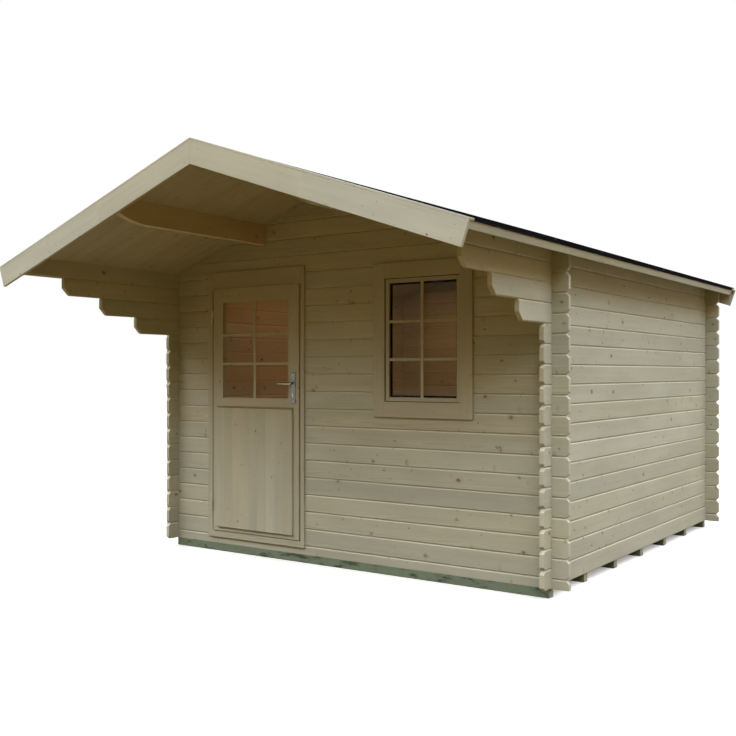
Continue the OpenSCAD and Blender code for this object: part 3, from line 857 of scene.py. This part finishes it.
def glazing(name, pane, body, ahead, shares, edging):
    """A grid of bars in front of a pane, and an edging round both of the pane's faces.

    ahead is the distance from the pane to the front of the bars. shares are the heights of the level
    bars, in parts of the pane's height. edging is the edging's name, finish and slot; the slot is not
    used.
    """
    (x0, y0, z0), (x1, y1, z1) = corners(pane)
    mid, half = (x0 + x1) / 2, UPRIGHT_BAR / 2
    front, back = y0 - ahead, y0 - ahead + BAR_T
    rings = bars([[mid - half, front, z0]], [[mid + half, back, z1]], 2, BAR_EASE)
    sticks(name + "_upright_bar", rings, upright, body)
    zs = [z0 + share * (z1 - z0) for share in shares]
    spans = ((x0, mid - half), (mid + half, x1))
    lows = [[start, front, z - LEVEL_BAR / 2] for z in zs for start, _ in spans]
    highs = [[end, back, z + LEVEL_BAR / 2] for z in zs for _, end in spans]
    sticks(name + "_level_bars", bars(lows, highs, 0, BAR_EASE), level_x, body)
    outer = hoop([x0, y0 - SEAL_RISE, z0], [x1, y0 - HAIR, z1], SEAL_W)
    inner = hoop([x0, y1 + HAIR, z0], [x1, y1 + SEAL_RISE, z1], SEAL_W)
    kind, material, slot = edging
    sticks(name + kind, np.concatenate([outer, inner]), material, body)


beads = ("_beads", level_x, "spruce_joinery")
black_edging = ("_seal", seal, "roofing_felt")
glazing("door_glazing", "door_glass", "door", 0.0175, (0.354, 0.655), beads)
glazing("window_glazing", "window_glass", "cabin", 0.0158, (0.328, 0.661), black_edging)

# %% [markdown]
# The window is a sealed double pane: two sheets of glass with a black spacer all round between them, which
# shows as a black line beside the wood. A thin black strip round the sash, where it meets the trim, is
# painted shadow.

# %% Double pane and painted shadow round the sash
PANE = 0.004
PANE_EASE = 0.0004
SPACER = 0.012
SASH_SHADE_W = 0.004
SASH_SHADE_T = 0.0015
win_low, win_high = corners("window_glass")
pane_lows = [win_low, [win_low[0], win_high[1] - PANE, win_low[2]]]
pane_highs = [[win_high[0], win_low[1] + PANE, win_high[2]], win_high]
panes = sticks("window_panes", bars(pane_lows, pane_highs, 2, PANE_EASE), glass)
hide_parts("window_glass")
inward = np.array([0.0, PANE + TOUCH, 0.0])
between = hoop(win_low + inward, win_high - inward, SPACER)
sticks("window_spacer", between, seal)
# Painted shadow: a thin black strip on the sash's front, along the trim, stands for the gap between them.
stile_low, stile_high = corners("window_sash_stiles")
rail_low, rail_high = corners("window_sash_rails")
sash_low = [stile_low[0], stile_low[1] - SASH_SHADE_T, min(stile_low[2], rail_low[2])]
sash_high = [stile_high[0], stile_low[1] - TOUCH, max(stile_high[2], rail_high[2])]
sticks("sash_painted_shadow", hoop(sash_low, sash_high, SASH_SHADE_W), seal)

# %% [markdown]
# ## Lip over the leaf
#
# The leaf's top edge has a narrow lip that covers the gap under the door head and swings with the leaf. On
# the hinge side, a thin brown strip on the jamb is painted shadow: it makes the dark line of the gap. A
# lighter tan strip on top of the boarding, in the corner under the middle rail, is painted shade as well.

# %% Door lip and painted shadow lines
LIP_H = 0.009
LIP_OVERLAP = 0.002
LIP_INSET = 0.001
LIP_PROUD = 0.0006
LIP_EASE = 0.0015
HEAD_GAP = 0.0015
JAMB_SHADE = (0.0135, 0.0055)
JAMB_SHADE_T = 0.0015
JAMB_SHADE_EASE = 0.0005
PANEL_SHADE_H = 0.013
PANEL_SHADE_T = 0.009
PANEL_SHADE_EASE = 0.003
leaf_low, leaf_high = corners("door_stiles")
head_front = corners("door_head")[0][1]
lip_low = [[leaf_low[0] + LIP_INSET, leaf_low[1] - LIP_PROUD, leaf_high[2] - LIP_OVERLAP]]
lip_high = [[leaf_high[0] - LIP_INSET, head_front - HEAD_GAP, leaf_high[2] + LIP_H]]
sticks("door_lip", bars(lip_low, lip_high, 0, LIP_EASE), level_x, "door")
# Painted shadow: a thin brown strip on the jamb stands for the dark gap beside the leaf.
jamb_front = corners("door_jambs")[0][1]
low = [[leaf_low[0] - JAMB_SHADE[0], jamb_front - JAMB_SHADE_T, leaf_low[2]]]
high = [[leaf_low[0] - JAMB_SHADE[1], jamb_front - TOUCH, leaf_high[2]]]
sticks("jamb_painted_shadow", bars(low, high, 2, JAMB_SHADE_EASE), brown_painted_shadow)
# Painted shade: a tan strip in the corner under the middle rail stands for the shade line above the
# boarding.
low = [[panel_low[0], leaf_low[1] - PANEL_SHADE_T, panel_high[2] + TOUCH]]
high = [[panel_high[0], leaf_low[1] - TOUCH, panel_high[2] + PANEL_SHADE_H]]
sticks("panel_painted_shade", bars(low, high, 0, PANEL_SHADE_EASE), tan_painted_shade, "door")

# %% [markdown]
# ## Round heads
#
# Screws, nails and hinge caps are turned shapes. Each one is a profile, given as radius and height, spun
# around a line that stands on the surface.

# %% Turned pieces
def turned(name, centres, normals, profile, material, body="cabin", spin=16):
    """Turned heads: profile rows are (radius, height) from the foot up, spun about each normal."""
    centres = np.asarray(centres, float)
    normals = np.asarray(normals, float)
    normals = normals / np.linalg.norm(normals, axis=1, keepdims=True)
    helper = np.where(np.abs(normals[:, 2:]) > 0.9, X, Z)
    side_a = np.cross(normals, helper)
    side_a = side_a / np.linalg.norm(side_a, axis=1, keepdims=True)
    side_b = np.cross(normals, side_a)
    angle = np.linspace(0.0, 2.0 * math.pi, spin, endpoint=False)
    radius, height = np.asarray(profile, float).T
    circle = np.cos(angle)[:, None] * side_a[:, None] + np.sin(angle)[:, None] * side_b[:, None]
    rings = centres[:, None, None] + radius[None, :, None, None] * circle[:, None]
    rings = rings + height[None, :, None, None] * normals[:, None, None]
    return sticks(name, rings, material, body)


# %% [markdown]
# The bargeboards have pairs of nails down both slopes, the fascias one nail about every half metre, and
# the window trim four up each side.

# %% Nails
NAIL = [(0.0032, -0.0005), (0.0032, 0.0002), (0.0026, 0.0006), (0.0010, 0.0008)]
BARGE_S = (0.07, 0.69, 1.30, 1.74)
BARGE_N = (-0.018, -0.082)
FASCIA_T = 0.019
FASCIA_PITCH = 0.53
FASCIA_START = 0.12
FASCIA_N = -0.004
TRIM_IN = 0.03
TRIM_END = 0.05
points, ways = [], []
for side in (-1.0, 1.0):
    for s in BARGE_S:
        for n in BARGE_N:
            for y, way in ((caps_low[1], -1.0), (caps_high[1], 1.0)):
                points.append(on_roof(side, s, y, n))
                ways.append((0.0, way, 0.0))
    for y in np.arange(deck_low[1] + FASCIA_START, deck_high[1], FASCIA_PITCH):
        points.append(on_roof(side, DECK_S + FASCIA_T, y, FASCIA_N))
        ways.append((side * DOWN[0], 0.0, DOWN[2]))
trim_low, trim_high = corners("window_trim_sides")
for x in (trim_low[0] + TRIM_IN, trim_high[0] - TRIM_IN):
    for z in np.linspace(trim_low[2] + TRIM_END, trim_high[2] - TRIM_END, 4):
        points.append((x, trim_low[1], z))
        ways.append((0.0, -1.0, 0.0))
turned("nail_heads", points, ways, NAIL, zinc)

# %% [markdown]
# ## Handle
#
# The door has a plain lever on a long plate, inside and outside, with a cylinder lock below. The plate is
# pressed sheet: its outline is a rectangle with round corners, repeated in rings that step inwards as
# they rise.

# %% Handle plates
PLATE_T = 0.006
PLATE_HALF = (0.020, 0.107)
PLATE_CORNER = 0.006
PLATE_STEPS = (
    (0.0, 0.0), (0.0, 0.0034), (0.0006, 0.0046), (0.0018, 0.0055), (0.0038, 0.0059), (0.0090, 0.0060),
)
SCREW = [(0.0042, -0.0002), (0.0042, 0.0004), (0.0034, 0.0011), (0.0012, 0.0014)]
SCREW_OFF = 0.090
plates_low, plates_high = corners("door_handle_plates")
HANDLE_X = (plates_low[0] + plates_high[0]) / 2
PLATE_Z = (plates_low[2] + plates_high[2]) / 2
FACES = ((plates_low[1] + PLATE_T, -1.0), (plates_high[1] - PLATE_T, 1.0))


def round_rectangle(half_x, half_z, radius, count=64):
    """Points around a rectangle with round corners: a circle whose quarters are moved apart."""
    angle = np.linspace(0.0, 2.0 * math.pi, count, endpoint=False) + math.pi / count
    circle = np.stack([np.cos(angle), np.sin(angle)], 1)
    return np.sign(circle) * (np.array([half_x, half_z]) - radius) + radius * circle


def on_faces(layers, z):
    """Rings on both faces of the leaf. layers are (outline, rise) pairs, centred on the handle at z."""
    rings = np.zeros((2, len(layers), len(layers[0][0]), 3))
    for face, (y, way) in enumerate(FACES):
        for ring, (outline, rise) in enumerate(layers):
            rings[face, ring, :, 0] = HANDLE_X + outline[:, 0]
            rings[face, ring, :, 1] = y + way * rise
            rings[face, ring, :, 2] = z + outline[:, 1]
    return rings


def on_plates(*heights):
    """Points on both plates at some heights, and the way each one faces."""
    places = [(y + way * PLATE_T, way, z) for y, way in FACES for z in heights]
    return [(HANDLE_X, y, z) for y, _, z in places], [(0.0, way, 0.0) for _, way, _ in places]


layers = [
    (round_rectangle(PLATE_HALF[0] - inset, PLATE_HALF[1] - inset, PLATE_CORNER), rise)
    for inset, rise in PLATE_STEPS
]
plates = sticks("handle_plates", on_faces(layers, PLATE_Z), steel, "door")
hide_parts("door_handle_plates")
points, ways = on_plates(PLATE_Z - SCREW_OFF, PLATE_Z + SCREW_OFF)
turned("handle_screws", points, ways, SCREW, zinc, "door")

# %% [markdown]
# The lock is a round barrel with a narrower leg below. The slit for the key is painted shade: a thin black
# bar on the barrel.

# %% Lock
LOCK_DROP = 0.072
BARREL_R = 0.0085
LEG_R = 0.0050
LEG_DROP = 0.0150
LEG_BELOW = -0.80
LOCK_STEPS = ((1.0, 0.0), (1.0, 0.0086), (0.93, 0.0092))
SLIT_HALF = (0.0008, 0.0045)
SLIT_RISE = (0.0091, 0.0095)
lever_low, lever_high = corners("door_lever")
LEVER_Z = (lever_low[2] + lever_high[2]) / 2
LOCK_Z = LEVER_Z - LOCK_DROP
angle = np.linspace(0.0, 2.0 * math.pi, 40, endpoint=False) + math.pi / 2
circle = np.stack([np.cos(angle), np.sin(angle)], 1)
leg = LEG_R * circle - [0.0, LEG_DROP]
outline = np.where(circle[:, 1:] < LEG_BELOW, leg, BARREL_R * circle)
layers = [(share * outline, rise) for share, rise in LOCK_STEPS]
sticks("lock_cylinders", on_faces(layers, LOCK_Z), zinc, "door")
# Painted shade: a thin black bar on each barrel stands for the hollow of the key slit.
slit = [sorted(y + way * rise for rise in SLIT_RISE) for y, way in FACES]
lows = [[HANDLE_X - SLIT_HALF[0], y0, LOCK_Z - SLIT_HALF[1]] for y0, _ in slit]
highs = [[HANDLE_X + SLIT_HALF[0], y1, LOCK_Z + SLIT_HALF[1]] for _, y1 in slit]
sticks("lock_slit_shade", bars(lows, highs, 2, TOUCH), seal, "door")

# %% [markdown]
# The lever turns with its own body, so it is a piece of its own: two arms on one spindle. An arm is cast:
# an oval section that follows a straight path, gets slimmer towards its end and closes in a round.

# %% Lever
ARM = 0.108
ARM_OVER = 0.083
ARM_ROUND = 0.084
ARM_HEIGHT = (0.0088, 0.0026)
ARM_DEPTH = (0.0058, 0.0010)
ARM_IN = 0.006
NECK = [
    (0.0135, 0.0003), (0.0135, 0.0030), (0.0122, 0.0042), (0.0088, 0.0050), (0.0080, 0.0120),
    (0.0080, 0.0300),
]
stations = np.linspace(-ARM_OVER, 1.0 + ARM_OVER, 30)
around = np.linspace(0.0, 2.0 * math.pi, 24, endpoint=False)
past_end = (np.abs(stations - 0.5) - 0.5).clip(0.0)
closing = np.clip(1.0 - past_end / ARM_ROUND, 0.02, 1.0)
closing = np.sqrt(1.0 - (1.0 - closing) ** 2)
reach = np.clip(stations, 0.0, 1.0)
height = (ARM_HEIGHT[0] - ARM_HEIGHT[1] * reach) * closing
depth = (ARM_DEPTH[0] - ARM_DEPTH[1] * reach) * closing
arms = np.zeros((2, len(stations), len(around), 3))
for face, (y, way) in enumerate(((lever_low[1], 1.0), (lever_high[1], -1.0))):
    arms[face, :, :, 0] = HANDLE_X - ARM * stations[:, None]
    arms[face, :, :, 1] = y + way * ARM_IN + depth[:, None] * np.cos(around)
    arms[face, :, :, 2] = LEVER_Z + height[:, None] * np.sin(around)
lever = sticks("lever_arms", arms, lever_steel, "lever", smooth=True)
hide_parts("door_lever")
points, ways = on_plates(LEVER_Z)
turned("lever_necks", points, ways, NECK, lever_steel, "lever", 24)

# %% [markdown]
# Each hinge ends in a small round cap, one on the leaf's half and one on the frame's half. The caps stand
# on the line that the door turns about, which the frame gives with the joint.

# %% Hinge caps
HINGE_HALF = 0.054
CAP = [(0.0068, 0.0), (0.0068, 0.0012), (0.0050, 0.0022), (0.0044, 0.0034), (0.0026, 0.0048)]
lowest = corners("door_hinge_pins")[0][2]
highest = corners("door_hinge_knuckles")[1][2]
hinge_zs = (lowest + HINGE_HALF, highest - HINGE_HALF)
hinge = [joint for joint in frame["joints"] if joint["name"] == "door_hinge"][0]
hinge_x, hinge_y = hinge["pos_m"][:2]
tops = [(hinge_x, hinge_y, z + HINGE_HALF) for z in hinge_zs]
feet = [(hinge_x, hinge_y, z - HINGE_HALF) for z in hinge_zs]
turned("hinge_top_caps", tops, [(0, 0, 1)] * 2, CAP, hinge_steel, "door")
turned("hinge_foot_caps", feet, [(0, 0, -1)] * 2, CAP, hinge_steel)

# %% [markdown]
# ## Stage
#
# The floor and the sky are white to the eye, as on a cut-out picture, while the light is that of an
# overcast day. A node tells the two apart: it knows whether a ray comes from the eye or only gathers light
# for a surface.

# %% Floor
WHITE = shade(1.0, 1.0, 1.0)
EARTH = shade(0.130, 0.081, 0.021)
FLOOR_HALF = 60.0
FLOOR_Z = -0.001


def white_to_eye(w):
    """1 where the eye sees this directly, in metal or through glass, and 0 for light on the cabin."""
    path = w.node("LightPath", {}, None)
    shown = w.math("MAXIMUM", path["Is Glossy Ray"], path["Is Transmission Ray"])
    shown = w.math("MAXIMUM", shown, path["Is Camera Ray"])
    return w.times(shown, w.math("LESS_THAN", path["Diffuse Depth"], 0.5))


ground = finish("stage_ground")
eye = white_to_eye(ground)
speckle = ground.noise(ground.place(), 40.0, 2.0)
pale_floor = ground.mix(speckle, shade(0.90, 0.90, 0.90), shade(0.93, 0.93, 0.93))
floor_finish = ground.surface({
    "Base Color": ground.mix(eye, EARTH, pale_floor), "Roughness": 1.0, "Specular IOR Level": 0.0,
    "Emission Color": WHITE, "Emission Strength": ground.times(eye, 0.3),
})
far = FLOOR_HALF * np.array([(-1.0, -1.0), (1.0, -1.0), (1.0, 1.0), (-1.0, 1.0)])
plane = bpy.data.meshes.new("stage_floor")
plane.from_pydata([(x, y, FLOOR_Z) for x, y in far.tolist()], [], [(0, 1, 2, 3)])
plane.materials.append(floor_finish)
placed("stage_floor", plane)

# %% [markdown]
# ## Light
#
# The sky is soft, bright halfway up and dim towards the horizon, and the ground gives little light back.
# That is why the wood goes deep brown under the canopy. The sky is a little brighter in front. A large dim
# lamp under the ridge warms the room, so that the wall behind the panes shows.

# %% Sky and room light
SKY = (
    (0.0, shade(0.027, 0.016, 0.004)),
    (0.20, shade(0.068, 0.042, 0.013)),
    (0.42, shade(0.250, 0.210, 0.138)),
    (0.60, shade(0.92, 0.95, 1.00)),
    (1.0, shade(0.72, 0.74, 0.77)),
)
SKY_LEVEL = 3.34
SKY_BACK, SKY_RIGHT, SKY_BASE = -0.28, 0.06, 0.99
world = bpy.data.worlds.new("overcast")
bpy.context.scene.world = world
sky = Wiring(world)
to_right, to_back, up = sky.node("SeparateXYZ", {0: sky.node("TexCoord", {}, "Generated")}, None)
tone = sky.node("ValToRGB", {0: up})
ramp = tone.node.color_ramp
ramp.interpolation = "EASE"
ramp.elements[0].position, ramp.elements[0].color = SKY[0]
ramp.elements[1].position, ramp.elements[1].color = SKY[-1]
for height, colour in SKY[1:-1]:
    ramp.elements.new(height).color = colour
leaning = sky.plus(sky.times(to_back, SKY_BACK), sky.times(to_right, SKY_RIGHT))
strength = sky.times(sky.plus(leaning, SKY_BASE), SKY_LEVEL)
lit = sky.node("Background", {"Color": tone, "Strength": strength})
seen = sky.node("Background", {"Color": WHITE, "Strength": 1.0})
sky.node("OutputWorld", {"Surface": sky.node("MixShader", {0: white_to_eye(sky), 1: lit, 2: seen})})

room_light = bpy.data.lights.new("room_light", "AREA")
room_light.shape = "RECTANGLE"
room_light.size = 2.4
room_light.size_y = 2.4
room_light.energy = 11.0
room_light.color = (1.0, 0.46, 0.17)
room_lamp = placed("room_light", room_light)
room_lamp.location = (0.0, 0.0, 2.10)
room_lamp.visible_camera = False
room_lamp.visible_glossy = False
room_lamp.visible_transmission = False

# %% [markdown]
# ## Camera
#
# The camera stands off the right front corner at chest height and looks level, so that upright edges stay
# upright. A small shift moves the frame without tilting the view.

# %% Camera
eye_data = bpy.data.cameras.new("camera")
eye_data.sensor_width = 36.0
eye_data.lens = 46.70
eye_data.shift_y = 0.0065
camera = placed("camera", eye_data)
camera.location = (3.738, -6.537, 1.274)
camera.rotation_euler = (math.radians(90.0), 0.0, math.radians(35.013))
bpy.context.scene.camera = camera
bpy.context.scene.view_settings.view_transform = "Standard"
